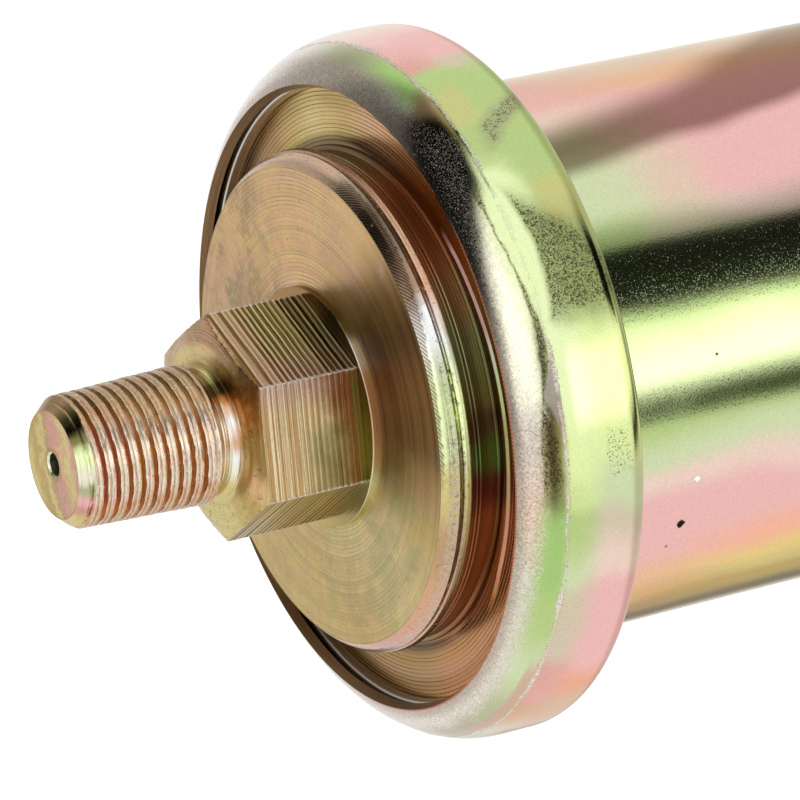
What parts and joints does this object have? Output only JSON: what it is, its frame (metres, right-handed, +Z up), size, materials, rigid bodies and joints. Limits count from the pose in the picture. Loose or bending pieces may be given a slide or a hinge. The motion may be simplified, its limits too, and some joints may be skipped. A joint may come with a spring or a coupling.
{
  "type": "oil pressure sender",
  "caption": "Oil pressure sender: a threaded brassy plated stud with a hexagon and disc, crimped into a plated sheet steel can with a screw terminal at its far end.",
  "frame": {"origin": "on the sender's axis, at the gauge plane of the stud's taper thread", "axes": "+X along the axis from the stud's tip to the terminal; +Z up as pictured; one corner of the hexagon lies about 10 degrees from +Z towards +Y"},
  "size_m": [0.0943, 0.0538, 0.0538],
  "materials": {
    "fitting_plating": "yellow zinc plated, turned and milled, satin",
    "can_plating": "yellow zinc plated sheet with a glossy iridescent film",
    "bright_aluminium": "bright and smooth",
    "black_rubber": "matte sheet",
    "spring_bronze": "thin spring bronze, satin",
    "zinc_steel": "clear zinc plated sheet",
    "spring_steel": "plain, oiled",
    "brass": "turned, satin",
    "silver_alloy": "polished contact",
    "brown_board": "pressed insulating board",
    "resistance_wire": "bare nickel alloy wire",
    "black_plastic": "moulded, matte",
    "terminal_zinc": "clear zinc plated, satin"
  },
  "bodies": {
    "housing": {"backing_ring": "bright_aluminium", "base_fitting": "fitting_plating", "bracket_rivets": "spring_steel", "card_rivets": "brass", "contact_strip": "brass", "diaphragm": "spring_bronze", "flat_washer": "terminal_zinc", "frame_rivets": "brass", "gasket": "black_rubber", "guide_bush": "brass", "housing_can": "can_plating", "inner_insulator": "black_plastic", "lock_washer": "terminal_zinc", "mechanism_bracket": "zinc_steel", "mechanism_plate": "zinc_steel", "outer_insulator": "black_plastic", "pivot_frame": "zinc_steel", "pivot_pin": "spring_steel", "resistance_winding": "resistance_wire", "resistor_bracket": "black_plastic", "resistor_card": "brown_board", "return_spring": "spring_steel", "spacer_ring": "zinc_steel", "terminal_nut": "terminal_zinc", "terminal_screw": "terminal_zinc", "thin_nut": "terminal_zinc"},
    "pusher": {"adjusting_nut": "brass", "adjusting_screw": "spring_steel", "pusher": "brass"},
    "lever": {"lever": "brass", "wiper_contact": "silver_alloy", "wiper_rivets": "brass", "wiper_spring": "spring_bronze"}
  },
  "joints": [
    {"name": "pusher_slide", "type": "slide", "parent": "housing", "child": "pusher", "axis": [1, 0, 0], "range_m": [0, 0.0014], "stiffness_N_per_m": 2000, "deforming": ["diaphragm", "return_spring"]},
    {"name": "lever_pivot", "type": "hinge", "parent": "housing", "child": "lever", "pos_m": [0.04325, 0, -0.0032], "axis": [0, 1, 0], "range_deg": [0, 25.1]}
  ],
  "couplings": [
    {"joint": "lever_pivot", "follows": "pusher_slide", "rad_per_m": 312.5}
  ]
}
